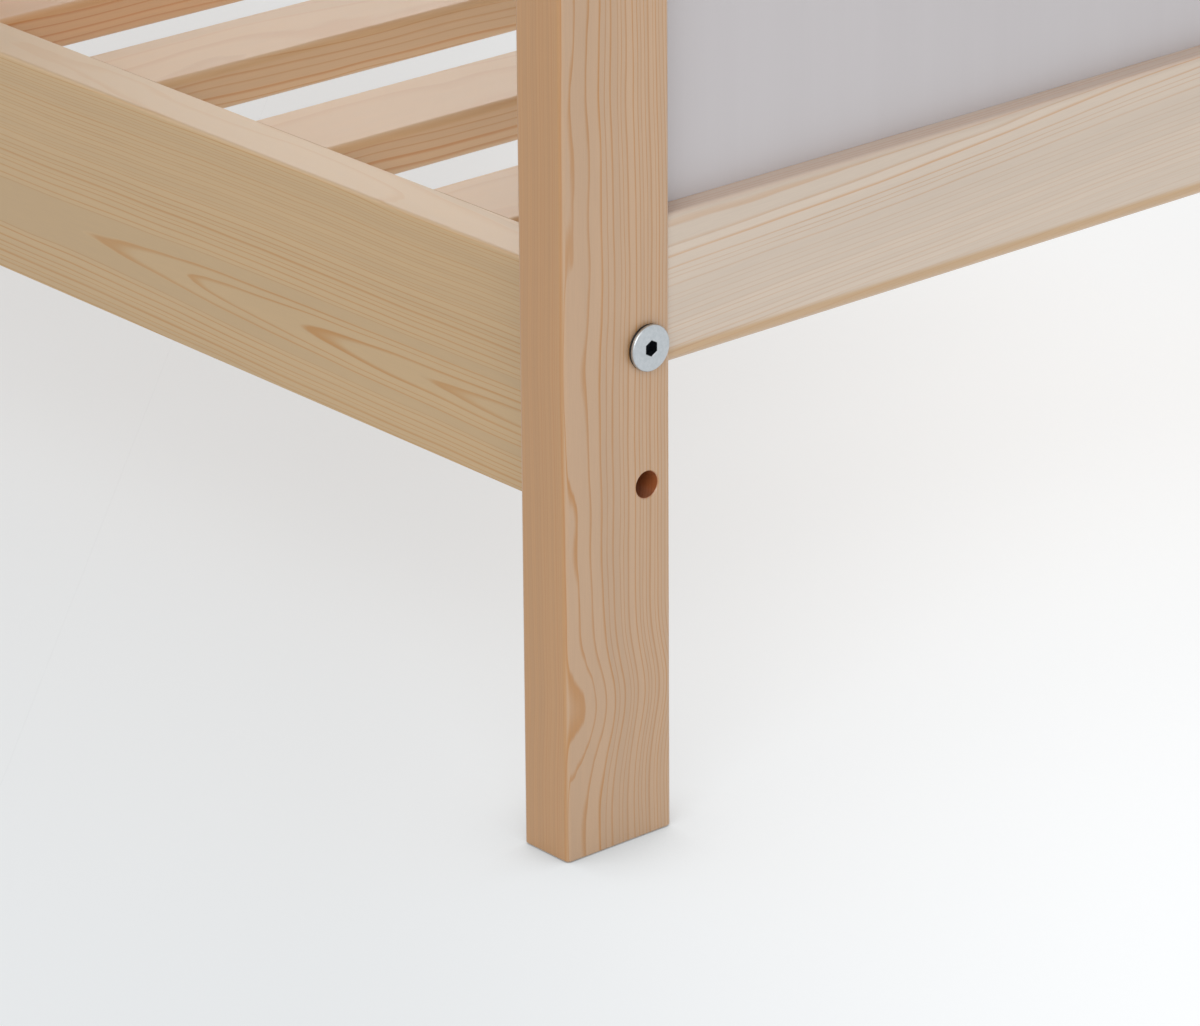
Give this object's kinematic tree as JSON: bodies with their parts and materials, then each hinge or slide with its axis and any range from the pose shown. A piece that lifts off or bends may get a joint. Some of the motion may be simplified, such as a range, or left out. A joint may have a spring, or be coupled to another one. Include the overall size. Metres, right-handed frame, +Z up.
{
  "type": "convertible cot bed",
  "caption": "Child's cot bed of clear-lacquered pine with its front side taken off: slatted base, grey end panels, barred back side.",
  "frame": {"origin": "on the floor, under the middle of the bed", "axes": "+X across the bed from the open front side to the barred back side, +Y along the bed from its right end to its left end as seen from the front, +Z up"},
  "size_m": [0.66, 1.2634, 0.83],
  "materials": {
    "pine": "clear satin lacquer on sanded solid pine",
    "beech": "raw glued dowel",
    "grey_paint": "light warm grey satin paint on thin fibreboard",
    "zinc_steel": "satin zinc plate"
  },
  "bodies": {
    "root": {"post_front_right": "pine", "post_back_right": "pine", "right_end_lower_rail": "pine", "right_end_upper_rail": "pine", "right_end_panel": "grey_paint", "right_end_dowels": "beech", "post_front_left": "pine", "post_back_left": "pine", "left_end_lower_rail": "pine", "left_end_upper_rail": "pine", "left_end_panel": "grey_paint", "left_end_dowels": "beech", "base_rail_front": "pine", "base_rail_back": "pine", "slat_01": "pine", "slat_02": "pine", "slat_03": "pine", "slat_04": "pine", "slat_05": "pine", "slat_06": "pine", "slat_07": "pine", "slat_08": "pine", "slat_09": "pine", "slat_10": "pine", "slat_11": "pine", "side_upper_rail": "pine", "side_lower_rail": "pine", "side_bar_01": "pine", "side_bar_02": "pine", "side_bar_03": "pine", "side_bar_04": "pine", "side_bar_05": "pine", "side_bar_06": "pine", "side_bar_07": "pine", "side_bar_08": "pine", "side_bar_09": "pine", "side_bar_10": "pine", "side_bar_11": "pine", "side_bar_12": "pine", "side_bar_13": "pine", "side_lower_pins": "zinc_steel", "base_bolts": "zinc_steel", "base_barrel_nuts": "zinc_steel", "side_bolts": "zinc_steel", "side_barrel_nuts": "zinc_steel"}
  },
  "joints": []
}
